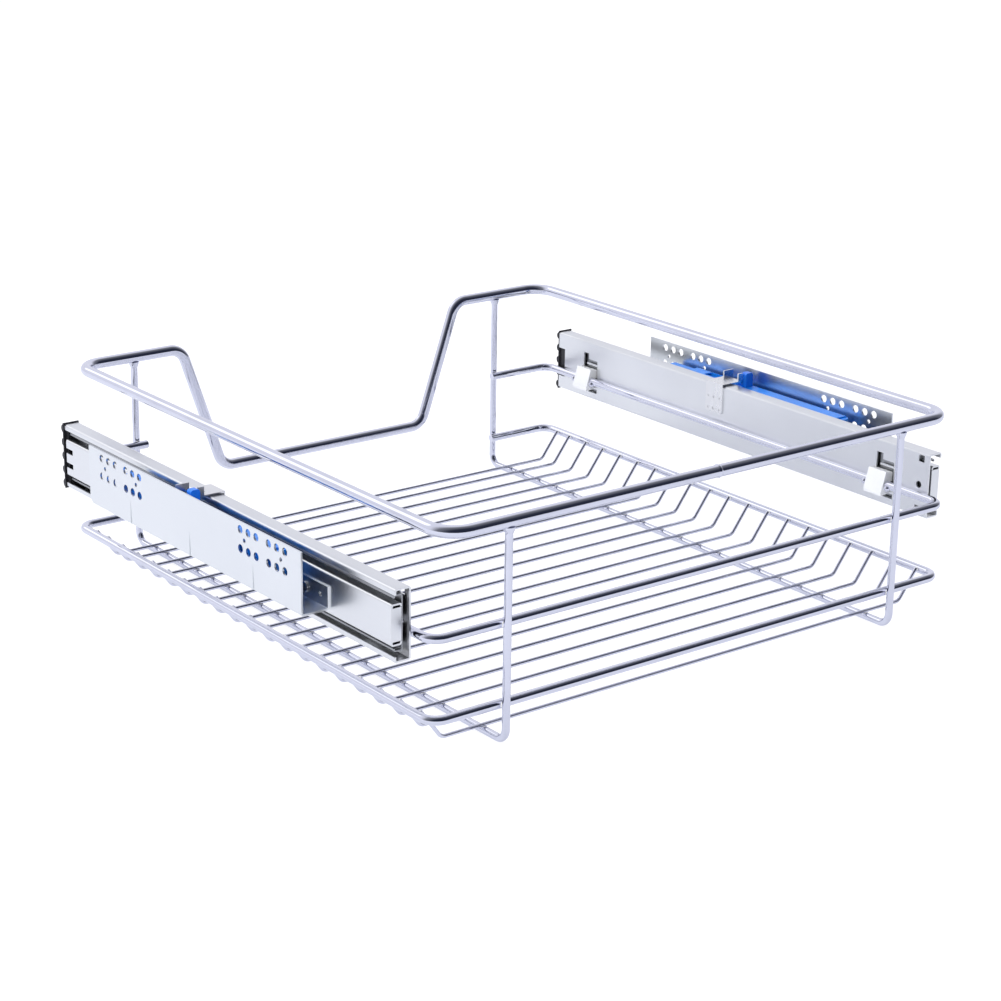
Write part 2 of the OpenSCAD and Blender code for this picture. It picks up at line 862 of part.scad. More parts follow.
module bracket_profile() {
    difference() {
        round_rect([leg_x, bracket_z], [bracket_x, plate_top + bend_radius], bend_radius);
        round_rect([leg_x + bracket_sheet, bracket_z + bracket_sheet],
                   [plate_x, plate_top + 4 * bend_radius], inner_bend);
        translate([leg_x - cut_over, bracket_z + leg_height])
            square([bracket_sheet + 2 * cut_over, plate_height]);
        translate([leg_x - cut_over, plate_top])
            square([bracket_x - leg_x + 2 * cut_over, plate_height]);
    }
}

function dart_places() = [for (i = [0 : 2]) bracket_front_y + dart_first + i * dart_spacing];

// The pressed gussets between plate and flange
module darts() {
    for (y = dart_places())
        along_y(y - dart_width / 2, y + dart_width / 2)
            polygon([
                [plate_x + bracket_sheet / 2, bracket_z + bracket_sheet / 2],
                [plate_x - dart_reach, bracket_z + bracket_sheet / 2],
                [plate_x + bracket_sheet / 2, bracket_z + dart_height]
            ]);
}

// The grooves that the same press blows leave outside
module dart_grooves() {
    for (y = dart_places())
        along_y(y - dart_width / 3, y + dart_width / 3)
            polygon([
                [bracket_x - dart_depth, bracket_z - cut_over],
                [bracket_x + cut_over, bracket_z - cut_over],
                [bracket_x + cut_over, bracket_z + dart_height],
                [bracket_x, bracket_z + dart_height],
                [bracket_x - dart_depth, bracket_z]
            ]);
}

module plate_holes() {
    for (group = [0, group_pitch])
        for (offset_y = hole_offsets())
            for (row = [0, row_pitch])
                x_pin(plate_x - cut_over, bracket_x + cut_over, first_hole_y + group + offset_y,
                      upper_row_z - row, screw_hole);
    for (group = [0, group_pitch])
        for (offset_y = [hole_pitch / 2, system_pitch + 3 * hole_pitch / 2])
            x_pin(plate_x - cut_over, bracket_x + cut_over, first_hole_y + group + offset_y,
                  upper_row_z - row_pitch / 2, locating_hole);
}

module mounting_bracket(side) {
    corner_y = bracket_front_y + plate_corner_radius;
    corner_z = bracket_z + plate_corner_radius;
    color("whitesmoke")
        on_side(side)
            difference() {
                union() {
                    along_y(bracket_front_y, bracket_rear_y)
                        bracket_profile();
                    darts();
                }
                plate_holes();
                dart_grooves();
                for (y = rivet_places())
                    x_pin(leg_x - cut_over, leg_x + bracket_sheet + cut_over, y, rivet_z,
                          rivet_shank + 2 * rivet_play);
                x_pin(leg_x - cut_over, leg_x + bracket_sheet + cut_over, bracket_rear_y - spare_hole_inset,
                      rivet_z, spare_hole);
                difference() {
                    block([leg_x + bracket_sheet + cut_over, bracket_front_y - cut_over, bracket_z - cut_over],
                          [bracket_x + cut_over, corner_y, corner_z]);
                    x_pin(leg_x, bracket_x + 2 * cut_over, corner_y, corner_z, 2 * plate_corner_radius);
                }
            }
}

module bracket_rivets(side) {
    inner = slide_x + slide_thickness - rail_sheet;
    outer = leg_x + bracket_sheet;
    color("silver")
        on_side(side)
            for (y = rivet_places()) {
                x_pin(inner - rivet_head_height, inner, y, rivet_z, rivet_head);
                x_pin(inner - rivet_head_height, outer + rivet_head_height, y, rivet_z, rivet_shank);
                x_pin(outer, outer + rivet_head_height, y, rivet_z, rivet_head);
            }
}

// ---------- soft close ----------

module closer_housing(side) {
    outer_x = housing_x + housing_width;
    tongue_rear_y = housing_front_y + tongue_length;
    inside = [housing_x + housing_wall, housing_z + housing_wall];
    feet = [housing_front_y + foot_length, housing_rear_y - 2 * foot_length];
    color("dodgerblue")
        on_side(side)
            difference() {
                union() {
                    along_y(tongue_rear_y, housing_rear_y - housing_round)
                        round_rect([housing_x, housing_z], [outer_x, housing_top], housing_edge);
                    along_y(housing_front_y, tongue_rear_y + cut_over)
                        round_rect([housing_x, housing_z], [outer_x, housing_top - tongue_drop], housing_edge);
                    for (y = feet)
                        block([housing_x + foot_inset, y, bracket_z + bracket_sheet],
                              [outer_x - foot_inset, y + foot_length, housing_z + housing_edge]);
                    translate([0, 0, housing_z + housing_edge])
                        linear_extrude(height = housing_height - 2 * housing_edge)
                            round_rect([housing_x, housing_rear_y - 3 * housing_round],
                                       [outer_x, housing_rear_y], housing_round);
                }
                block([inside.x, housing_front_y + housing_wall, inside.y],
                      [outer_x - housing_wall, damper_rear_y, housing_top - tongue_drop - housing_wall]);
                block([inside.x, tongue_rear_y + housing_wall, inside.y],
                      [outer_x - housing_wall, damper_rear_y, housing_top - housing_wall]);
                block([post_x - post_width / 2 - slot_play,
                       catch_y - post_length / 2 - catch_travel - 2 * slot_play,
                       housing_top - tongue_drop - housing_wall - cut_over],
                      [post_x + post_width / 2 + slot_play,
                       catch_y + post_length / 2 + 2 * slot_play, housing_top + cut_over]);
            }
}

module closer_catch(side) {
    low_x = housing_x + housing_wall + slot_play;
    high_x = housing_x + housing_width - housing_wall - slot_play;
    low_z = housing_z + housing_wall + slot_play;
    high_z = housing_top - tongue_drop - housing_wall - slot_play;
    post_low = [post_x - post_width / 2, high_z - 2 * post_round];
    post_high = [post_x + post_width / 2, housing_top + post_height];
    color("dodgerblue")
        on_side(side)
            difference() {
                union() {
                    block([low_x, carriage_front_y, low_z], [high_x, carriage_rear_y, high_z]);
                    along_y(catch_y - post_length / 2, catch_y + post_length / 2)
                        round_rect(post_low, post_high, post_round);
                }
                y_pin(carriage_rear_y - rod_grip, carriage_rear_y + cut_over, damper_x, damper_z, damper_rod);
            }
}

module damper_cylinder(side) {
    color("gray")
        on_side(side)
            difference() {
                y_pin(damper_front_y, damper_rear_y, damper_x, damper_z, damper_diameter);
                y_pin(damper_front_y + damper_wall, damper_rear_y - damper_wall, damper_x, damper_z,
                      damper_diameter - 2 * damper_wall);
                y_pin(damper_front_y - cut_over, damper_front_y + 2 * damper_wall, damper_x, damper_z,
                      damper_rod + 2 * ball_clearance);
            }
}

module damper_rod_piece(side) {
    piston_rear_y = damper_front_y + damper_wall + catch_travel + piston_length + slot_play;
    color("silver")
        on_side(side) {
            y_pin(carriage_rear_y - rod_grip, piston_rear_y, damper_x, damper_z, damper_rod);
            y_pin(piston_rear_y - piston_length, piston_rear_y, damper_x, damper_z,
                  damper_diameter - 2 * damper_wall - 2 * ball_clearance);
        }
}

module return_spring(side) {
    color("slategray")
        on_side(side)
            difference() {
                y_pin(carriage_rear_y, damper_rear_y, spring_x, spring_z, spring_diameter);
                y_pin(carriage_rear_y - cut_over, damper_rear_y + cut_over, spring_x, spring_z,
                      spring_diameter - 2 * spring_wire);
            }
}

top_rail();
middle_ring();
lower_ring();
frame_wire_loop(-frame_half_spacing);  // frame_wire_left
frame_wire_loop(frame_half_spacing);  // frame_wire_right
floor_wires();
stop_nubs();
basket_rail("left");  // basket_rail_left
basket_rail("right");  // basket_rail_right
hook_bracket("left");  // hook_bracket_left
hook_bracket("right");  // hook_bracket_right
bumper("left");  // bumper_left
bumper("right");  // bumper_right
wire_clips("left");  // wire_clips_left
wire_clips("right");  // wire_clips_right
middle_rail("left");  // middle_rail_left
middle_rail("right");  // middle_rail_right
cabinet_rail("left");  // cabinet_rail_left
cabinet_rail("right");  // cabinet_rail_right
outer_cage("left");  // outer_cage_left
outer_cage("right");  // outer_cage_right
outer_balls("left");  // outer_balls_left
outer_balls("right");  // outer_balls_right
inner_cage("left");  // inner_cage_left
inner_cage("right");  // inner_cage_right
inner_balls("left");  // inner_balls_left
inner_balls("right");  // inner_balls_right
mounting_bracket("left");  // mounting_bracket_left
mounting_bracket("right");  // mounting_bracket_right
bracket_rivets("left");  // bracket_rivets_left
bracket_rivets("right");  // bracket_rivets_right
closer_housing("left");  // closer_housing_left
closer_housing("right");  // closer_housing_right
closer_catch("left");  // closer_catch_left
closer_catch("right");  // closer_catch_right
damper_cylinder("left");  // damper_cylinder_left
damper_cylinder("right");  // damper_cylinder_right
damper_rod_piece("left");  // damper_rod_left
damper_rod_piece("right");  // damper_rod_right
return_spring("left");  // return_spring_left
return_spring("right");  // return_spring_right
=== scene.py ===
"""Looks of a pull out cabinet basket.

A chrome wire basket hangs by white clips between two ball bearing slides. Each slide has a hook
bracket on the basket's side, and a side bracket with a blue soft closer on the cabinet's side.
"""

from __future__ import annotations

import json
import logging
import math
from dataclasses import dataclass, field
from enum import Enum
from typing import Any, Iterable, Sequence

import bmesh
import bpy
from mathutils import Matrix, Vector

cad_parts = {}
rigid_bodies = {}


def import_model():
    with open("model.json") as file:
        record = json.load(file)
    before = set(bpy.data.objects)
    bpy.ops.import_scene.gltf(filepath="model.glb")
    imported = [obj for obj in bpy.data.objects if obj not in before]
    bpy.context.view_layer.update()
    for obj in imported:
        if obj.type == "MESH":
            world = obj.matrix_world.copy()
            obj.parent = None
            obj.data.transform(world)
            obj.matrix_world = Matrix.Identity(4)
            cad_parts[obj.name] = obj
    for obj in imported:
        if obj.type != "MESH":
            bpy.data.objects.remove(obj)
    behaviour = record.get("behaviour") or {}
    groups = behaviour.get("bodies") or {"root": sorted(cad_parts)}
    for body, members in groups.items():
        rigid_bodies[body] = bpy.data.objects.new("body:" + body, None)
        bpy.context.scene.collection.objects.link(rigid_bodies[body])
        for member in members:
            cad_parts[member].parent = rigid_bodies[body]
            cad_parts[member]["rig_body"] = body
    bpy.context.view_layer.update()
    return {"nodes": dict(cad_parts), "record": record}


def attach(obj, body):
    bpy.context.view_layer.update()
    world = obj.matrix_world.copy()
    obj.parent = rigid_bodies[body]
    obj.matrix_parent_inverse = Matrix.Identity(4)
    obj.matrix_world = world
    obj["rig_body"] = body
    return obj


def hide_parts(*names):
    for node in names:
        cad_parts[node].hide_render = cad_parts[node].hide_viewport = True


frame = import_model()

MM = 0.001
BASKET_BODY = "basket"
Point = tuple[float, float, float]
Colour = tuple[float, float, float]
Edges = tuple[float, float]
log = logging.getLogger("basket")


class Side(Enum):
    """The two sides of the basket, with the sign of X on each."""

    LEFT = -1
    RIGHT = 1

    @property
    def word(self) -> str:
        """The side's word in the names of nodes."""
        return self.name.lower()


class Slot(Enum):
    """The record's material slots."""

    CHROME_WIRE = "chrome_wire"
    CHROME_FLOOR_WIRE = "chrome_floor_wire"
    ZINC_RAIL = "zinc_rail"
    ZINC_MIDDLE_RAIL = "zinc_middle_rail"
    ZINC_HOOK = "zinc_hook"
    ZINC_PLATE = "zinc_plate"
    CAGE_STEEL = "cage_steel"
    BALL_STEEL = "ball_steel"
    RIVET_STEEL = "rivet_steel"
    DAMPER_STEEL = "damper_steel"
    SPRING_STEEL = "spring_steel"
    BLACK_PLASTIC = "black_plastic"
    WHITE_PLASTIC = "white_plastic"
    BLUE_PLASTIC = "blue_plastic"
    BLUE_CATCH = "blue_catch"


# ---------------------------------------------------------------- material trees


@dataclass(frozen=True)
class Value:
    """One socket of a material, with the sums that the finishes use."""

    tree: "MaterialTree"
    socket: bpy.types.NodeSocket

    def _sum(self, operation: str, first: Any, second: Any) -> "Value":
        """Adds a Math node for a sum of two numbers or sockets."""
        return self.tree.node("ShaderNodeMath", {"operation": operation}, {0: first, 1: second})

    def __add__(self, other: Any) -> "Value":
        """self + other."""
        return self._sum("ADD", self, other)

    def __radd__(self, other: Any) -> "Value":
        """other + self."""
        return self._sum("ADD", other, self)

    def __mul__(self, other: Any) -> "Value":
        """self * other."""
        return self._sum("MULTIPLY", self, other)

    def __rmul__(self, other: Any) -> "Value":
        """other * self."""
        return self._sum("MULTIPLY", other, self)


class MaterialTree:
    """A material's node tree, with one method that adds any node."""

    NOISE_ROUGHNESS = 0.55

    def __init__(self, name: str, world: bpy.types.World | None = None) -> None:
        """Starts an empty tree.

        Args:
            name: The new material's name.
            world: A world to build the tree in, in place of a new material.
        """
        self.owner = world or bpy.data.materials.new(name)
        self.owner.use_nodes = True
        self.tree = self.owner.node_tree
        self.tree.nodes.clear()

    def node(self, kind: str, settings: dict[str, Any] | None = None, inputs: dict[Any, Any] | None = None,
             output: int | str = 0) -> Value:
        """Adds a node.

        Args:
            kind: The node's type.
            settings: Its own settings, set first.
            inputs: A number, colour, or Value for each named or numbered socket.
            output: The output that the result stands for.

        Returns:
            The chosen output.
        """
        made = self.tree.nodes.new(kind)
        for name, value in (settings or {}).items():
            setattr(made, name, value)
        for name, value in (inputs or {}).items():
            socket = made.inputs[name]
            if isinstance(value, Value):
                self.tree.links.new(value.socket, socket)
            elif isinstance(value, tuple) and len(value) == 3 and socket.type == "RGBA":
                socket.default_value = (*value, 1.0)
            else:
                socket.default_value = value
        return Value(self, made.outputs[output] if made.outputs else None)

    def place(self, scale: Point) -> Value:
        """The point on the object, in metres, scaled along the three axes."""
        spot = self.node("ShaderNodeTexCoord", output="Object")
        return self.node("ShaderNodeMapping", {}, {"Vector": spot, "Scale": scale})

    def noise(self, scale: float, stretch: Point = (1.0, 1.0, 1.0), detail: float = 2.0) -> Value:
        """A noise from 0 to 1 with that many cells in a metre."""
        return self.node("ShaderNodeTexNoise", {"noise_dimensions": "3D"},
                         {"Vector": self.place(stretch), "Scale": scale, "Detail": detail,
                          "Roughness": self.NOISE_ROUGHNESS})

    def ramp(self, value: Value, low: float, high: float) -> Value:
        """0 below low, 1 above high, and a smooth step between."""
        return self.node("ShaderNodeMapRange", {"interpolation_type": "SMOOTHSTEP"},
                         {"Value": value, "From Min": low, "From Max": high})

    def mix(self, share: Value | float, first: Value | Colour, second: Value | Colour) -> Value:
        """A colour between two, by a share from 0 to 1."""
        # The colours of a Mix node are its sockets 6 and 7, and their result is its output 2.
        return self.node("ShaderNodeMix", {"data_type": "RGBA"}, {0: share, 6: first, 7: second}, 2)

    def bump(self, height: Value, distance: float, strength: float) -> Value:
        """A normal bent by a height."""
        return self.node("ShaderNodeBump", {}, {"Height": height, "Distance": distance, "Strength": strength})

    def surface(self, **inputs: Any) -> bpy.types.Material:
        """Ends the tree in a Principled shader.

        Args:
            inputs: The shader's sockets, with _ for a space in their names.

        Returns:
            The material.
        """
        shader = self.node("ShaderNodeBsdfPrincipled", {},
                           {name.replace("_", " "): value for name, value in inputs.items()})
        self.node("ShaderNodeOutputMaterial", {}, {"Surface": shader})
        return self.owner


# ---------------------------------------------------------------- finishes


@dataclass(frozen=True)
class ChromeFinish:
    """Bright chrome plating on drawn wire, with a faint haze and drawing marks."""

    name: str
    slot: Slot
    tint: Colour = (0.80, 0.81, 0.90)
    roughness: float = 0.05
    clouds: float = 24.0
    waves: float = 160.0
    specks: float = 1400.0
    haze_edges: Edges = (0.45, 0.75)
    haze_tint: float = 0.93
    haze_roughness: float = 0.05
    speck_roughness: float = 0.03
    speck_height: float = 0.2
    draw_depth: float = 0.00002
    draw_strength: float = 0.6

    def material(self) -> bpy.types.Material:
        """Builds the material."""
        tree = MaterialTree(self.name)
        cloud = tree.noise(self.clouds, detail=3.0)
        waves = tree.noise(self.waves, detail=1.0)
        specks = tree.noise(self.specks, detail=2.0)
        haze = tree.ramp(cloud, *self.haze_edges)
        colour = tree.mix(haze, self.tint, tuple(self.haze_tint * c for c in self.tint))
        roughness = self.roughness + self.haze_roughness * haze + self.speck_roughness * specks
        normal = tree.bump(waves + self.speck_height * specks, self.draw_depth, self.draw_strength)
        return tree.surface(Base_Color=colour, Metallic=1.0, Roughness=roughness, Normal=normal)


@dataclass(frozen=True)
class ZincFinish:
    """Zinc plating on rolled or pressed sheet steel."""

    name: str
    slot: Slot
    tint: Colour = (0.89, 0.90, 0.90)
    stain: Colour = (0.84, 0.85, 0.85)
    roughness: float = 0.30
    roll: Point = (1.0, 0.06, 1.0)
    clouds: float = 14.0
    streaks: float = 700.0
    patch_edges: Edges = (0.35, 0.80)
    patch_stain: float = 0.45
    streak_stain: float = 0.2
    roughness_ease: float = 0.03
    patch_roughness: float = 0.04
    streak_roughness: float = 0.04
    streak_depth: float = 0.000006
    streak_strength: float = 0.35

    def material(self) -> bpy.types.Material:
        """Builds the material, with its streaks along the rolling direction."""
        tree = MaterialTree(self.name)
        cloud = tree.noise(self.clouds, detail=2.0)
        streak = tree.noise(self.streaks, self.roll, detail=2.0)
        patch = tree.ramp(cloud, *self.patch_edges)
        colour = tree.mix(self.patch_stain * patch + self.streak_stain * streak, self.tint, self.stain)
        smoothest = self.roughness - self.roughness_ease
        roughness = smoothest + self.patch_roughness * patch + self.streak_roughness * streak
        normal = tree.bump(streak, self.streak_depth, self.streak_strength)
        return tree.surface(Base_Color=colour, Metallic=1.0, Roughness=roughness, Normal=normal)


@dataclass(frozen=True)
class MouldedFinish:
    """Moulded plastic with a fine die texture."""

    name: str
    slot: Slot
    colour: Colour
    shade: Colour
    roughness: float
    coat: float = 0.0
    coat_roughness: float = 0.12
    clouds: float = 45.0
    cloud_edges: Edges = (0.40, 0.70)
    grain: float = 1600.0
    grain_roughness: float = 0.10
    grain_depth: float = 0.00004
    grain_strength: float = 0.6

    def material(self) -> bpy.types.Material:
        """Builds the material."""
        tree = MaterialTree(self.name)
        cloud = tree.noise(self.clouds, detail=3.0)
        grain = tree.noise(self.grain, detail=2.0)
        colour = tree.mix(tree.ramp(cloud, *self.cloud_edges), self.colour, self.shade)
        roughness = self.roughness + self.grain_roughness * grain
        normal = tree.bump(grain, self.grain_depth, self.grain_strength)
        return tree.surface(Base_Color=colour, Roughness=roughness, Normal=normal, Coat_Weight=self.coat,
                            Coat_Roughness=self.coat_roughness)


@dataclass(frozen=True)
class SteelFinish:
    """Plain or polished steel of balls, cages, rivets, rods and springs."""

    name: str
    slot: Slot
    tint: Colour
    roughness: float
    film: float = 220.0
    film_edges: Edges = (0.4, 0.7)
    film_tint: float = 0.82
    film_roughness: float = 0.08
    marks: float = 2200.0
    mark_stretch: Point = (1.0, 0.3, 1.0)
    mark_depth: float = 0.00002
    mark_strength: float = 0.4

    def material(self) -> bpy.types.Material:
        """Builds the material."""
        tree = MaterialTree(self.name)
        film = tree.noise(self.film, detail=3.0)
        marks = tree.noise(self.marks, self.mark_stretch, detail=1.0)
        filmed = tuple(self.film_tint * c for c in self.tint)
        colour = tree.mix(tree.ramp(film, *self.film_edges), self.tint, filmed)
        roughness = self.roughness + self.film_roughness * film
        normal = tree.bump(marks, self.mark_depth, self.mark_strength)
        return tree.surface(Base_Color=colour, Metallic=1.0, Roughness=roughness, Normal=normal)


FINISHES = {
    finish.slot: finish
    for finish in (
        ChromeFinish("bright_chrome_wire", Slot.CHROME_WIRE),
        ChromeFinish("bright_chrome_floor_wire", Slot.CHROME_FLOOR_WIRE, (0.78, 0.79, 0.88), 0.07),
        ZincFinish("zinc_rolled_rail", Slot.ZINC_RAIL),
        ZincFinish("zinc_middle_rail", Slot.ZINC_MIDDLE_RAIL, (0.45, 0.46, 0.47), (0.40, 0.41, 0.42), 0.38),
        ZincFinish("zinc_pressed_hook", Slot.ZINC_HOOK, (0.93, 0.93, 0.92), (0.87, 0.87, 0.86), 0.28,
                   roll=(1.0, 1.0, 0.2)),
        ZincFinish("zinc_pressed_plate", Slot.ZINC_PLATE, (0.91, 0.93, 0.93), (0.87, 0.89, 0.90)),
        SteelFinish("pressed_cage_steel", Slot.CAGE_STEEL, (0.28, 0.28, 0.29), 0.40),
        SteelFinish("polished_ball_steel", Slot.BALL_STEEL, (0.84, 0.85, 0.87), 0.05),
        SteelFinish("zinc_rivet_steel", Slot.RIVET_STEEL, (0.76, 0.77, 0.78), 0.24),
        SteelFinish("bright_damper_steel", Slot.DAMPER_STEEL, (0.68, 0.70, 0.72), 0.18),
        SteelFinish("oiled_spring_steel", Slot.SPRING_STEEL, (0.42, 0.43, 0.46), 0.25),
        MouldedFinish("black_moulded_plastic", Slot.BLACK_PLASTIC,
                      (0.012, 0.012, 0.014), (0.022, 0.022, 0.026), 0.38),
        MouldedFinish("white_moulded_plastic", Slot.WHITE_PLASTIC,
                      (0.90, 0.91, 0.92), (0.87, 0.88, 0.90), 0.40),
        MouldedFinish("blue_moulded_plastic", Slot.BLUE_PLASTIC,
                      (0.014, 0.25, 0.90), (0.012, 0.22, 0.82), 0.32, coat=0.25),
        MouldedFinish("blue_catch_plastic", Slot.BLUE_CATCH,
                      (0.012, 0.20, 0.88), (0.010, 0.16, 0.76), 0.30, coat=0.25),
    )
}


class Wardrobe:
    """Every finish's material, built once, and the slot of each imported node."""

    def __init__(self) -> None:
        """Builds all materials and reads the slots from the record."""
        self.materials = {slot: finish.material() for slot, finish in FINISHES.items()}
        self.slots = {row["node"]: Slot(row["material_slot"]) for row in frame["record"]["subparts"]}

    def dress(self, mesh: bpy.types.Mesh, node: str) -> None:
        """Gives a mesh the material of a node's slot."""
        mesh.materials.clear()
        mesh.materials.append(self.materials[self.slots[node]])

    def dress_all_nodes(self) -> None:
        """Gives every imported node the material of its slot."""
        for node, piece in frame["nodes"].items():
            self.dress(piece.data, node)


# ---------------------------------------------------------------- meshes


def smooth_by_angle(mesh: bpy.types.Mesh, limit: float) -> None:
    """Shades a mesh smooth, with its edges sharp where its faces meet at more than a limit.

    Args:
        mesh: The mesh.
        limit: The angle in degrees.
    """
    shape = bmesh.new()
    shape.from_mesh(mesh)
    for face in shape.faces:
        face.smooth = True
    for edge in shape.edges:
        if len(edge.link_faces) == 2:
            edge.smooth = edge.calc_face_angle(0.0) < math.radians(limit)
    shape.to_mesh(mesh)
    shape.free()


@dataclass(frozen=True)
class SoftenedNode:
    """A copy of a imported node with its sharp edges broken, as a press, die or tumbler leaves them.

    Lengths are in millimetres and angles in degrees.
    """

    node: str
    edge: float
    steps: int = 2
    merge: float = 0.002
    flat_turn: float = 1.0
    corner: float = 30.0
    curve_step: float = 8.0
    crease: float = 35.0
    flat_share: float = 12.0
    profile: float = 0.5
    most_corners: int = 4

    def _shade(self, shape: bmesh.types.BMesh) -> None:
        """Shades the rounded parts smooth, and keeps each large flat face flat up to its edge."""
        for face in shape.faces:
            face.smooth = True
        for edge in shape.edges:
            if len(edge.link_faces) == 2:
                turn = math.degrees(edge.calc_face_angle(0.0))
                small, large = sorted(face.calc_area() for face in edge.link_faces)
                alike = large < self.flat_share * small
                edge.smooth = turn < self.curve_step or (turn < self.crease and alike)

    def build(self, wardrobe: Wardrobe) -> bpy.types.Object:
        """Builds the piece, which stands for its node.

        Args:
            wardrobe: The materials.

        Returns:
            The new piece.
        """
        source = frame["nodes"][self.node]
        mesh = source.data.copy()
        mesh.name = f"{self.node}_edges"
        shape = bmesh.new()
        shape.from_mesh(mesh)
        bmesh.ops.remove_doubles(shape, verts=shape.verts, dist=self.merge * MM)
        bmesh.ops.dissolve_degenerate(shape, edges=shape.edges, dist=self.merge * MM)
        bmesh.ops.dissolve_limit(shape, angle_limit=math.radians(self.flat_turn), verts=shape.verts,
                                 edges=shape.edges)
        sharp = [edge for edge in shape.edges
                 if len(edge.link_faces) == 2 and edge.calc_face_angle(0.0) > math.radians(self.corner)]
        bmesh.ops.bevel(shape, geom=sharp, offset=self.edge * MM, segments=self.steps, profile=self.profile,
                        affect="EDGES", clamp_overlap=True)
        self._shade(shape)
        wide = [face for face in shape.faces if len(face.verts) > self.most_corners]
        bmesh.ops.triangulate(shape, faces=wide)
        shape.to_mesh(mesh)
        shape.free()
        piece = bpy.data.objects.new(f"{self.node}_piece", mesh)
        bpy.context.scene.collection.objects.link(piece)
        wardrobe.dress(mesh, self.node)
        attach(piece, source["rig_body"])
        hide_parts(self.node)
        return piece


class GeometryTree:
    """A Geometry Nodes tree with named inputs, run once on a seed mesh and turned into a plain mesh.

    CREASE is the angle in degrees from which an edge of that mesh is shaded sharp.
    """

    CREASE = 40.0

    def __init__(self, name: str) -> None:
        """Starts a tree with one geometry input and output."""
        self.tree = bpy.data.node_groups.new(name, "GeometryNodeTree")
        self.tree.interface.new_socket("Geometry", in_out="INPUT", socket_type="NodeSocketGeometry")
        self.tree.interface.new_socket("Geometry", in_out="OUTPUT", socket_type="NodeSocketGeometry")
        self.entry = self.tree.nodes.new("NodeGroupInput")
        self.exit = self.tree.nodes.new("NodeGroupOutput")
        self.settings: dict[str, Any] = {}

    def input(self, name: str, kind: str, value: Any) -> bpy.types.NodeSocket:
        """Adds a named input.

        Args:
            name: Its name.
            kind: The socket's type, without its "NodeSocket" beginning.
            value: The value that the modifier gets.

        Returns:
            The socket inside the tree.
        """
        made = self.tree.interface.new_socket(name, in_out="INPUT", socket_type=f"NodeSocket{kind}")
        self.settings[made.identifier] = value
        return next(socket for socket in self.entry.outputs if socket.identifier == made.identifier)

    def node(self, kind: str, settings: dict[str, Any] | None = None,
             inputs: dict[Any, Any] | None = None) -> bpy.types.Node:
        """Adds a node with its settings and the values or links of its sockets."""
        made = self.tree.nodes.new(kind)
        for name, value in (settings or {}).items():
            setattr(made, name, value)
        for name, value in (inputs or {}).items():
            if isinstance(value, bpy.types.NodeSocket):
                self.tree.links.new(value, made.inputs[name])
            else:
                made.inputs[name].default_value = value
        return made

    def finish(self, geometry: bpy.types.NodeSocket, material: bpy.types.NodeSocket) -> None:
        """Ends the tree in Realize Instances and Set Material."""
        real = self.node("GeometryNodeRealizeInstances", {}, {"Geometry": geometry})
        painted = self.node("GeometryNodeSetMaterial", {},
                            {"Geometry": real.outputs[0], "Material": material})
        self.tree.links.new(painted.outputs[0], self.exit.inputs[0])

    def run(self, name: str, seed: bpy.types.Mesh) -> bpy.types.Object:
        """Runs the tree on a seed mesh.

        Args:
            name: The new piece's name.
            seed: The mesh that goes in.

        Returns:
            A plain mesh object at the origin.
        """
        source = bpy.data.objects.new(f"{name}_seed", seed)
        bpy.context.scene.collection.objects.link(source)
        modifier = source.modifiers.new("nodes", "NODES")
        modifier.node_group = self.tree
        for identifier, value in self.settings.items():
            modifier[identifier] = value
        graph = bpy.context.evaluated_depsgraph_get()
        mesh = bpy.data.meshes.new_from_object(source.evaluated_get(graph), depsgraph=graph)
        source.modifiers.remove(modifier)
        bpy.data.objects.remove(source)
        mesh.name = name
        smooth_by_angle(mesh, self.CREASE)
        piece = bpy.data.objects.new(name, mesh)
        bpy.context.scene.collection.objects.link(piece)
        return piece


def points_mesh(name: str, points: Iterable[Sequence[float]],
                edges: Iterable[tuple[int, int]] = ()) -> bpy.types.Mesh:
    """A seed mesh of points.

    Args:
        name: The mesh's name.
        points: The points, in millimetres.
        edges: The pairs of points that are joined, if any.

    Returns:
        The mesh, in metres.
    """
    mesh = bpy.data.meshes.new(name)
    mesh.from_pydata([tuple(c * MM for c in point) for point in points], list(edges), [])
    return mesh


def line_mesh(name: str, points: Sequence[Sequence[float]], sizes: Sequence[float],
              closed: bool) -> bpy.types.Mesh:
    """A seed mesh of points joined into a line.

    Args:
        name: The mesh's name.
        points: The points, in millimetres.
        sizes: A size for each point, kept as the attribute "size".
        closed: Whether the line comes back to its start.

    Returns:
        The mesh, in metres.
    """
    count = len(points)
    edges = [(i, i + 1) for i in range(count - 1)]
    if closed:
        edges.append((count - 1, 0))
    mesh = points_mesh(name, points, edges)
    sized = mesh.attributes.new("size", "FLOAT", "POINT")
    sized.data.foreach_set("value", list(sizes))
    return mesh


@dataclass(frozen=True)
class Swelling:
    """A stretch where a wire is thicker: its middle, its reach to each side, and its rise as a share."""

    centre: Point
    reach: float
    rise: float


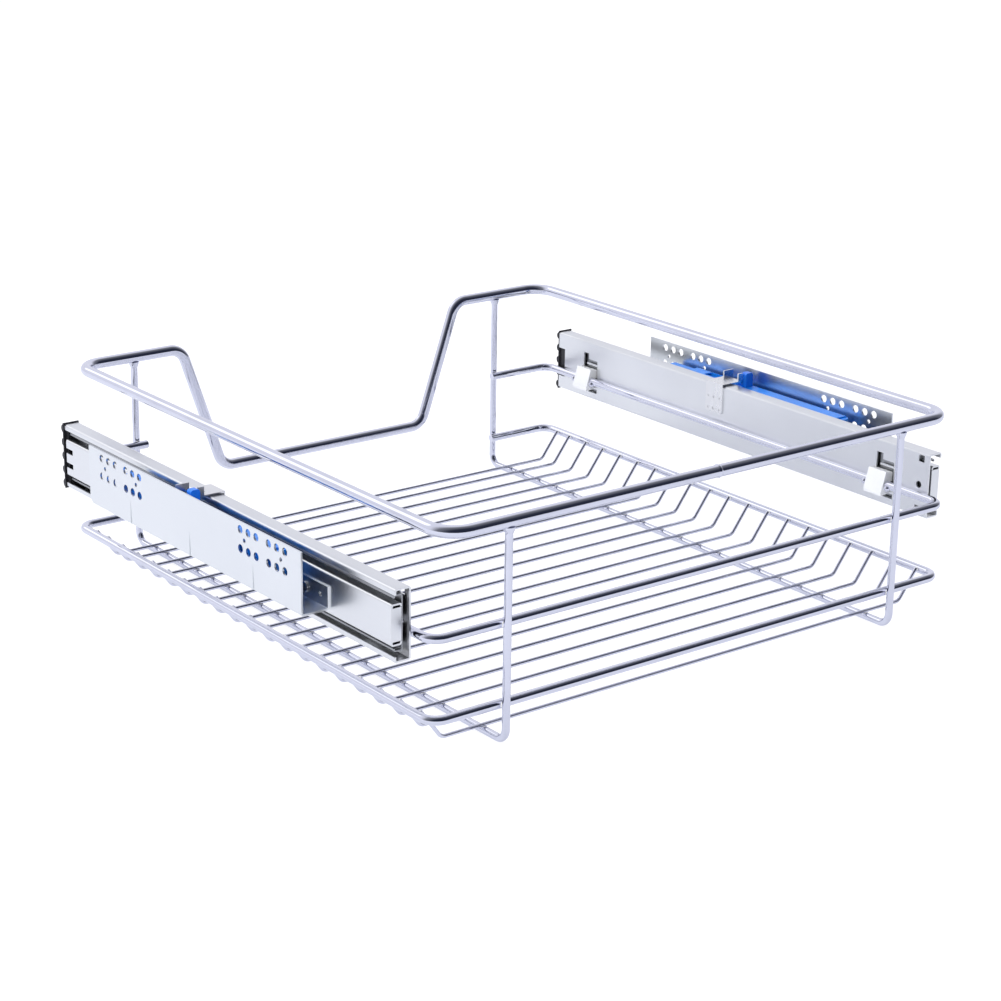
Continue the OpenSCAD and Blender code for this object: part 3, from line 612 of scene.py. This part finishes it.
@dataclass
class WirePath:
    """A round wire's centre line: corner points with a bend radius at each.

    Lengths are in millimetres and turn_step, the angle between the rings of a bend, is in degrees.
    """

    corners: list[Point]
    radii: list[float]
    diameter: float
    closed: bool = False
    turn_step: float = 6.0
    end_bevel: float = 0.4
    guard: float = 0.6
    guarded_run: float = 2.4
    swelling_rings: int = 6
    line_reach: float = 0.5
    ring_clear: float = 0.05
    swellings: list[Swelling] = field(default_factory=list)

    def _bend(self, before: Vector, corner: Vector, after: Vector, radius: float) -> list[Vector]:
        """The points along one bend."""
        u, v = (corner - before).normalized(), (after - corner).normalized()
        turn = u.angle(v)
        inward = (v - u.dot(v) * u).normalized()
        centre = corner - u * radius * math.tan(turn / 2) + inward * radius
        steps = max(2, math.ceil(math.degrees(turn) / self.turn_step))
        angles = [turn * i / steps for i in range(steps + 1)]
        return [centre - inward * radius * math.cos(a) + u * radius * math.sin(a) for a in angles]

    def line(self) -> tuple[list[Vector], list[float]]:
        """Works out the centre line.

        Returns:
            Its points, and the wire's diameter at each as a share of the full one.
        """
        corners = [Vector(corner) for corner in self.corners]
        count = len(corners)
        made: list[Vector] = []
        for i, corner in enumerate(corners):
            if not self.closed and i in (0, count - 1):
                made.append(corner)
            else:
                made.extend(self._bend(corners[i - 1], corner, corners[(i + 1) % count], self.radii[i]))
        bevelled = not self.closed and self.end_bevel > 0
        if bevelled:
            head = (made[1] - made[0]).normalized() * self.end_bevel
            tail = (made[-2] - made[-1]).normalized() * self.end_bevel
            made = [made[0], made[0] + head, *made[1:-1], made[-1] + tail, made[-1]]
        for swelling in self.swellings:
            made = self._with_rings(made, Vector(swelling.centre), swelling.reach)
        made = self._guarded(made)
        sizes = [1.0] * len(made)
        if bevelled:
            sizes[0] = sizes[-1] = 1.0 - 2 * self.end_bevel / self.diameter
        for swelling in self.swellings:
            for i, point in enumerate(made):
                away = (point - Vector(swelling.centre)).length / swelling.reach
                if away < 1.0:
                    sizes[i] += swelling.rise * (1 - away * away)
        return made, sizes

    def _guarded(self, points: list[Vector]) -> list[Vector]:
        """Adds a ring near both ends of each long straight, which keeps its shading straight."""
        made: list[Vector] = []
        for i, start in enumerate(points):
            made.append(start)
            if i == len(points) - 1 and not self.closed:
                break
            end = points[(i + 1) % len(points)]
            if (end - start).length > self.guarded_run:
                along = (end - start).normalized()
                made += [start + along * self.guard, end - along * self.guard]
        return made

    def _with_rings(self, points: list[Vector], centre: Vector, reach: float) -> list[Vector]:
        """Adds points on the straight stretch round a swelling."""
        made: list[Vector] = []
        rings = self.swelling_rings
        for i, start in enumerate(points):
            made.append(start)
            if i == len(points) - 1 and not self.closed:
                break
            run = points[(i + 1) % len(points)] - start
            along = run.normalized()
            middle = (centre - start).dot(along)
            off = ((centre - start) - along * middle).length
            if off < self.line_reach:
                places = [middle + reach * k / rings for k in range(-rings, rings + 1)]
                made.extend(start + along * place for place in places
                            if self.ring_clear < place < run.length - self.ring_clear)
        return made


class WireTree(GeometryTree):
    """Sweeps a round section along a line, scaled at each point by its size."""

    def __init__(self, diameter: float, sides: int, material: bpy.types.Material, closed: bool) -> None:
        """Builds the tree.

        Args:
            diameter: The wire's diameter in millimetres.
            sides: How many sides its section gets.
            material: Its material.
            closed: Whether it is a loop without ends.
        """
        super().__init__("wire_along_path")
        radius = self.input("Radius", "Float", diameter / 2 * MM)
        count = self.input("Sides", "Int", sides)
        paint = self.input("Material", "Material", material)
        size = self.node("GeometryNodeInputNamedAttribute", {"data_type": "FLOAT"}, {"Name": "size"})
        line = self.node("GeometryNodeMeshToCurve", {}, {"Mesh": self.entry.outputs[0]})
        ring = self.node("GeometryNodeCurvePrimitiveCircle", {"mode": "RADIUS"},
                         {"Resolution": count, "Radius": radius})
        tube = self.node("GeometryNodeCurveToMesh", {},
                         {"Curve": line.outputs[0], "Profile Curve": ring.outputs[0],
                          "Scale": size.outputs[0], "Fill Caps": not closed})
        self.finish(tube.outputs[0], paint)


@dataclass(frozen=True)
class Bead:
    """A weld bead: its diameter in millimetres, and its scale along the three axes."""

    diameter: float
    squash: Point


class BeadTree(GeometryTree):
    """Puts a weld bead on every point of the seed, each a little larger or smaller."""

    SMALLEST = 0.88
    LARGEST = 1.14
    SEED = 7
    SUBDIVISIONS = 3

    def __init__(self, bead: Bead, material: bpy.types.Material) -> None:
        """Builds the tree.

        Args:
            bead: The bead.
            material: Its material.
        """
        super().__init__("weld_beads")
        radius = self.input("Radius", "Float", bead.diameter / 2 * MM)
        shape = self.input("Squash", "Vector", bead.squash)
        paint = self.input("Material", "Material", material)
        seed = self.input("Seed", "Int", self.SEED)
        ball = self.node("GeometryNodeMeshIcoSphere", {},
                         {"Radius": radius, "Subdivisions": self.SUBDIVISIONS})
        draw = self.node("FunctionNodeRandomValue", {"data_type": "FLOAT"},
                         {2: self.SMALLEST, 3: self.LARGEST, "Seed": seed})
        scale = self.node("ShaderNodeVectorMath", {"operation": "SCALE"},
                          {0: shape, "Scale": draw.outputs[1]})
        beads = self.node("GeometryNodeInstanceOnPoints", {},
                          {"Points": self.entry.outputs[0], "Instance": ball.outputs[0],
                           "Scale": scale.outputs[0]})
        self.finish(beads.outputs[0], paint)


def joined(name: str, parts: Iterable[bpy.types.Object]) -> bpy.types.Object:
    """Joins pieces into one mesh object at the origin, under a new name."""
    shape = bmesh.new()
    first = None
    for part in parts:
        first = first or part.data.materials[0]
        shape.from_mesh(part.data)
        bpy.data.objects.remove(part)
    mesh = bpy.data.meshes.new(name)
    shape.to_mesh(mesh)
    shape.free()
    mesh.materials.append(first)
    piece = bpy.data.objects.new(name, mesh)
    bpy.context.scene.collection.objects.link(piece)
    return piece


# ---------------------------------------------------------------- the basket's wires


@dataclass
class WireBasket:
    """The welded chrome basket: top rail, two rings, two frame wires and the floor wires.

    Lengths are in millimetres, and the sides fields say how many sides a wire's section gets.
    """

    wardrobe: Wardrobe
    rail_wire: float = 8.0
    rail_sides: int = 36
    rail_half_width: float = 208.0
    rail_half_depth: float = 219.0
    rail_height: float = 142.0
    rail_corner: float = 17.0
    dip_top: float = 124.0
    dip_low: float = 91.0
    dip_height: float = 47.0
    dip_bend: float = 13.0
    bead_rise: float = 0.4
    bead_reach: float = 0.9
    ring_wire: float = 6.0
    ring_sides: int = 28
    ring_corner: float = 10.0
    ring_end: float = 157.0
    middle_ring_half_width: float = 214.0
    middle_ring_height: float = 77.0
    lower_ring_half_width: float = 214.0
    lower_ring_height: float = 25.5
    frame_wire: float = 5.0
    frame_sides: int = 26
    frame_x: float = 163.0
    frame_bend: float = 8.0
    frame_sink: float = 0.6
    weld: float = 0.3
    flare_height: float = 4.0
    flare_width: float = 2.4
    floor_wire: float = 2.6
    floor_sides: int = 16
    floor_bend_x: float = 195.0
    floor_bend: float = 6.0
    floor_turn_step: float = 9.0
    floor_end_bevel: float = 0.25
    floor_count: int = 20
    floor_pitch: float = 20.95
    floor_first_gap: float = 15.5
    floor_last_y: float = 197.5
    floor_bead: Bead = Bead(2.9, (1.35, 0.95, 0.5))
    ring_bead: Bead = Bead(2.6, (0.75, 1.25, 1.1))
    ring_bead_rise: float = 0.4
    upright_bead: Bead = Bead(5.0, (1.0, 0.42, 1.0))

    @property
    def ring_half_depth(self) -> float:
        """Half depth of both rings, wire centre."""
        return self.rail_half_depth - (self.frame_wire + self.ring_wire) / 2 + self.weld

    @property
    def floor_places(self) -> list[float]:
        """Depth position of each floor wire."""
        places = [self.floor_last_y - i * self.floor_pitch for i in range(self.floor_count - 1)]
        return [*places, places[-1] - self.floor_first_gap]

    def _sweep(self, name: str, path: WirePath, sides: int, slot: Slot) -> bpy.types.Object:
        """Sweeps one wire along its path."""
        points, sizes = path.line()
        seed = line_mesh(name, points, sizes, path.closed)
        return WireTree(path.diameter, sides, self.wardrobe.materials[slot], path.closed).run(name, seed)

    def _settle(self, piece: bpy.types.Object, node: str) -> bpy.types.Object:
        """Lets a piece ride on the basket and stand for its node."""
        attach(piece, BASKET_BODY)
        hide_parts(node)
        return piece

    def _mirrored(self, right: list[Point]) -> list[Point]:
        """The corners of the right half, followed by those of the left half."""
        return right + [(-x, y, z) for x, y, z in reversed(right)]

    def top_rail(self) -> bpy.types.Object:
        """The closed rail with its front dip and its butt weld at the rear."""
        depth, height = self.rail_half_depth, self.rail_height
        right = [(self.dip_low, -depth, self.dip_height), (self.dip_top, -depth, height),
                 (self.rail_half_width, -depth, height), (self.rail_half_width, depth, height)]
        bends = [self.dip_bend, self.dip_bend, self.rail_corner, self.rail_corner]
        bead = Swelling((0.0, depth, height), self.bead_reach, 2 * self.bead_rise / self.rail_wire)
        path = WirePath(self._mirrored(right), bends + bends[::-1], self.rail_wire, True, swellings=[bead])
        return self._settle(self._sweep("top_rail_wire", path, self.rail_sides, Slot.CHROME_WIRE), "top_rail")

    def ring(self, name: str, half_width: float, height: float) -> bpy.types.Object:
        """A ring that is open at the front.

        Args:
            name: The node that it stands for.
            half_width: Half its width at the wire's centre.
            height: Its height at the wire's centre.

        Returns:
            The piece.
        """
        depth = self.ring_half_depth
        right = [(self.ring_end, -depth, height), (half_width, -depth, height), (half_width, depth, height)]
        corners = self._mirrored(right)
        path = WirePath(corners, [self.ring_corner] * len(corners), self.ring_wire)
        return self._settle(self._sweep(f"{name}_wire", path, self.ring_sides, Slot.CHROME_WIRE), name)

    def frame_bend_wire(self, side: Side) -> bpy.types.Object:
        """One frame wire: upright, runner and upright, with flares where the uprights meet the rail."""
        x, depth, low = self.frame_x * side.value, self.rail_half_depth, self.frame_wire / 2
        top = self.rail_height - self.rail_wire / 2 + self.frame_sink
        rise = self.flare_width / self.frame_wire
        corners = [(x, -depth, top), (x, -depth, low), (x, depth, low), (x, depth, top)]
        path = WirePath(corners, [self.frame_bend] * len(corners), self.frame_wire, end_bevel=0.0,
                        swellings=[Swelling((x, y, top), self.flare_height, rise) for y in (-depth, depth)])
        piece = self._sweep(f"frame_wire_{side.word}_bend", path, self.frame_sides, Slot.CHROME_WIRE)
        return self._settle(piece, f"frame_wire_{side.word}")

    def floor_wires(self) -> bpy.types.Object:
        """The twenty bent floor wires, one after another towards the front."""
        low = self.frame_wire + self.floor_wire / 2 - self.weld
        end_x = self.lower_ring_half_width - self.ring_wire / 2 - self.weld
        end_z = self.lower_ring_height + self.floor_wire / 2
        wires = []
        for i, y in enumerate(self.floor_places):
            corners = [(-end_x, y, end_z), (-self.floor_bend_x, y, low),
                       (self.floor_bend_x, y, low), (end_x, y, end_z)]
            path = WirePath(corners, [self.floor_bend] * len(corners), self.floor_wire,
                            turn_step=self.floor_turn_step, end_bevel=self.floor_end_bevel)
            wires.append(self._sweep(f"floor_wire_{i}", path, self.floor_sides, Slot.CHROME_FLOOR_WIRE))
        piece = joined("floor_wire_row", wires)
        return self._settle(piece, "floor_wires")

    def _beads(self, name: str, bead: Bead, slot: Slot, spots: list[Point]) -> bpy.types.Object:
        """Puts one kind of bead on its spots."""
        return BeadTree(bead, self.wardrobe.materials[slot]).run(name, points_mesh("spots", spots))

    def welds(self) -> bpy.types.Object:
        """The resistance welds between crossing wires, as small flat beads."""
        touch_z = self.frame_wire - self.weld / 2
        bead_z = self.lower_ring_height + self.ring_bead_rise
        ring_y = self.ring_half_depth + self.ring_wire / 2 - self.weld / 2
        end_x = self.lower_ring_half_width - self.ring_wire / 2 - self.weld / 2
        floor_beads = self._beads(
            "floor_beads", self.floor_bead, Slot.CHROME_FLOOR_WIRE,
            [(side.value * self.frame_x, y, touch_z) for side in Side for y in self.floor_places])
        ring_beads = self._beads(
            "ring_beads", self.ring_bead, Slot.CHROME_FLOOR_WIRE,
            [(side.value * end_x, y, bead_z) for side in Side for y in self.floor_places])
        upright_beads = self._beads(
            "upright_beads", self.upright_bead, Slot.CHROME_WIRE,
            [(side.value * self.frame_x, y, z) for side in Side for y in (-ring_y, ring_y)
             for z in (self.middle_ring_height, self.lower_ring_height)])
        piece = joined("weld_beads", [floor_beads, ring_beads, upright_beads])
        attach(piece, BASKET_BODY)
        return piece

    def build(self) -> list[bpy.types.Object]:
        """Builds every wire.

        Returns:
            The new pieces.
        """
        return [
            self.top_rail(),
            self.ring("middle_ring", self.middle_ring_half_width, self.middle_ring_height),
            self.ring("lower_ring", self.lower_ring_half_width, self.lower_ring_height),
            *(self.frame_bend_wire(side) for side in Side),
            self.floor_wires(),
            self.welds(),
        ]


# ---------------------------------------------------------------- the sides


@dataclass
class SlideUnit:
    """One side's slide, with its rails, end bumper and the clips that hold the middle ring."""

    wardrobe: Wardrobe
    side: Side
    rail_edge: float = 0.18
    bumper_edge: float = 0.35
    clip_edge: float = 0.55

    def build(self) -> list[bpy.types.Object]:
        """Builds the slide's pieces.

        Returns:
            The new pieces.
        """
        word = self.side.word
        return [
            SoftenedNode(f"basket_rail_{word}", self.rail_edge).build(self.wardrobe),
            SoftenedNode(f"middle_rail_{word}", self.rail_edge).build(self.wardrobe),
            SoftenedNode(f"cabinet_rail_{word}", self.rail_edge).build(self.wardrobe),
            SoftenedNode(f"bumper_{word}", self.bumper_edge).build(self.wardrobe),
            SoftenedNode(f"wire_clips_{word}", self.clip_edge, steps=3).build(self.wardrobe),
        ]


@dataclass
class HookBracket:
    """The pressed bracket on the basket rail, whose ears take the closer's catch."""

    wardrobe: Wardrobe
    side: Side
    edge: float = 0.2

    def build(self) -> list[bpy.types.Object]:
        """Builds the bracket."""
        return [SoftenedNode(f"hook_bracket_{self.side.word}", self.edge).build(self.wardrobe)]


@dataclass
class MountingBracket:
    """The pressed bracket that is screwed to the cabinet's side, with its rivets."""

    wardrobe: Wardrobe
    side: Side
    edge: float = 0.18
    rivet_edge: float = 0.5

    def build(self) -> list[bpy.types.Object]:
        """Builds the bracket and its rivets."""
        word = self.side.word
        return [
            SoftenedNode(f"mounting_bracket_{word}", self.edge).build(self.wardrobe),
            SoftenedNode(f"bracket_rivets_{word}", self.rivet_edge, steps=3).build(self.wardrobe),
        ]


@dataclass
class SoftCloser:
    """The blue closer on the mounting bracket's flange, with its sliding catch."""

    wardrobe: Wardrobe
    side: Side
    edge: float = 0.5

    def build(self) -> list[bpy.types.Object]:
        """Builds the housing and the catch."""
        word = self.side.word
        return [
            SoftenedNode(f"closer_housing_{word}", self.edge, steps=3).build(self.wardrobe),
            SoftenedNode(f"closer_catch_{word}", self.edge, steps=3).build(self.wardrobe),
        ]


# ---------------------------------------------------------------- the studio


@dataclass(frozen=True)
class Lamp:
    """A soft square light: its place, what it points at, the length of its side and its power in watts."""

    name: str
    place: Point
    aim: Point
    size: float
    power: float


@dataclass
class Studio:
    """The pale floor, the room and the soft lights round it, and the camera."""

    floor_half: float = 9.0
    floor_drop: float = 0.0002
    floor_paint: Colour = (0.34, 0.34, 0.35)
    floor_roughness: float = 0.7
    floor_specular: float = 0.2
    floor_bounce: Colour = (0.43, 0.45, 0.52)
    floor_seen: Colour = (0.80, 0.80, 0.81)
    wall: Colour = (0.80, 0.81, 0.89)
    wall_edges: Edges = (-0.50, 0.10)
    horizon_edges: Edges = (0.0, 0.04)
    overhead: Colour = (0.17, 0.175, 0.20)
    behind: Colour = (0.022, 0.026, 0.045)
    behind_edges: Edges = (0.05, 0.70)
    softbox: Point = (0.286, -0.756, 0.588)
    softbox_glow: Colour = (1.40, 1.40, 1.45)
    softbox_edges: Edges = (0.955, 0.985)
    lamps: tuple[Lamp, ...] = (
        Lamp("key", (-0.5, -1.6, 2.2), (0.0, 0.0, 0.0), 2.6, 55.0),
        Lamp("side", (2.6, -0.6, 1.6), (0.0, 0.0, 0.05), 1.8, 22.0),
        Lamp("fill", (1.7, 1.5, 1.5), (0.0, 0.0, 0.08), 1.6, 46.0),
    )
    aim: Point = (0.0342857, 0.0, 0.0809147)
    distance: float = 1.6712708
    azimuth: float = 143.0447
    elevation: float = 18.2651
    roll: float = -0.5708
    focal_px: float = 2437.4755
    image_px: int = 1001
    centre_px: tuple[float, float] = (460.0, 484.0)
    sensor_mm: float = 36.0
    view_reach: float = 100.0

    def floor(self) -> None:
        """A plain pale floor, which lights the metal less than it looks."""
        half, low = self.floor_half, -self.floor_drop
        corners = [(-half, -half, low), (half, -half, low), (half, half, low), (-half, half, low)]
        mesh = bpy.data.meshes.new("floor")
        mesh.from_pydata(corners, [], [(0, 1, 2, 3)])
        piece = bpy.data.objects.new("floor", mesh)
        bpy.context.scene.collection.objects.link(piece)
        tree = MaterialTree("pale_floor")
        seen = tree.node("ShaderNodeLightPath", output="Is Camera Ray")
        glow = tree.mix(seen, self.floor_bounce, self.floor_seen)
        mesh.materials.append(tree.surface(Base_Color=self.floor_paint, Roughness=self.floor_roughness,
                                           Specular_IOR_Level=self.floor_specular, Emission_Color=glow,
                                           Emission_Strength=1.0))

    def sky(self) -> None:
        """A white studio round the front with one softbox, and the dark room behind the camera."""
        world = bpy.data.worlds.new("studio_room")
        bpy.context.scene.world = world
        tree = MaterialTree("studio_room", world)
        way = tree.node("ShaderNodeTexCoord", output="Generated")
        y = tree.node("ShaderNodeSeparateXYZ", {}, {0: way}, "Y")
        z = tree.node("ShaderNodeSeparateXYZ", {}, {0: way}, "Z")
        softbox = tree.node("ShaderNodeVectorMath", {"operation": "DOT_PRODUCT"}, {0: way, 1: self.softbox},
                            "Value")
        shade = tree.mix(tree.ramp(y, *self.behind_edges), self.overhead, self.behind)
        shaded = tree.ramp(z, *self.horizon_edges) * tree.ramp(y, *self.wall_edges)
        room = tree.mix(shaded, self.wall, shade)
        colour = tree.mix(tree.ramp(softbox, *self.softbox_edges), room, self.softbox_glow)
        shine = tree.node("ShaderNodeBackground", {}, {"Color": colour, "Strength": 1.0})
        tree.node("ShaderNodeOutputWorld", {}, {"Surface": shine})

    def light(self, lamp: Lamp) -> None:
        """Hangs one light, which itself shows in no reflection."""
        source = bpy.data.lights.new(lamp.name, "AREA")
        source.size = lamp.size
        source.energy = lamp.power
        piece = bpy.data.objects.new(lamp.name, source)
        piece.visible_glossy = False
        piece.location = lamp.place
        ahead = Vector(lamp.aim) - Vector(lamp.place)
        piece.rotation_euler = ahead.to_track_quat("-Z", "Y").to_euler()
        bpy.context.scene.collection.objects.link(piece)

    def camera(self) -> None:
        """The camera, turned as the photograph's was."""
        a, e, r = (math.radians(angle) for angle in (self.azimuth, self.elevation, self.roll))
        back = Vector((math.sin(a) * math.cos(e), -math.cos(a) * math.cos(e), math.sin(e)))
        ahead = -back
        right = ahead.cross(Vector((0, 0, 1))).normalized()
        down = ahead.cross(right)
        rolled_right = right * math.cos(r) + down * math.sin(r)
        rolled_down = -right * math.sin(r) + down * math.cos(r)
        lens = bpy.data.cameras.new("camera")
        lens.sensor_width = self.sensor_mm
        lens.lens = self.sensor_mm * self.focal_px / self.image_px
        middle = self.image_px / 2
        lens.shift_x = (middle - self.centre_px[0]) / self.image_px
        lens.shift_y = (self.centre_px[1] - middle) / self.image_px
        lens.clip_end = self.view_reach
        piece = bpy.data.objects.new("camera", lens)
        turn = Matrix((rolled_right, -rolled_down, back)).transposed().to_4x4()
        piece.matrix_world = Matrix.Translation(Vector(self.aim) + self.distance * back) @ turn
        bpy.context.scene.collection.objects.link(piece)
        bpy.context.scene.camera = piece

    def build(self) -> None:
        """Sets up the floor, the lights, the room and the camera."""
        self.floor()
        self.sky()
        for lamp in self.lamps:
            self.light(lamp)
        self.camera()
        bpy.context.scene.view_settings.view_transform = "Standard"


def main() -> None:
    """Builds the whole scene, one sub-assembly after another."""
    logging.basicConfig(level=logging.INFO, format="%(message)s", force=True)
    Studio().build()
    wardrobe = Wardrobe()
    wardrobe.dress_all_nodes()
    assemblies: list[Any] = [WireBasket(wardrobe)]
    for side in Side:
        assemblies += [kind(wardrobe, side) for kind in (SlideUnit, HookBracket, MountingBracket, SoftCloser)]
    for assembly in assemblies:
        for piece in assembly.build():
            log.info("%s: %s, %d faces", type(assembly).__name__, piece.name, len(piece.data.polygons))


if __name__ == "__main__":
    main()
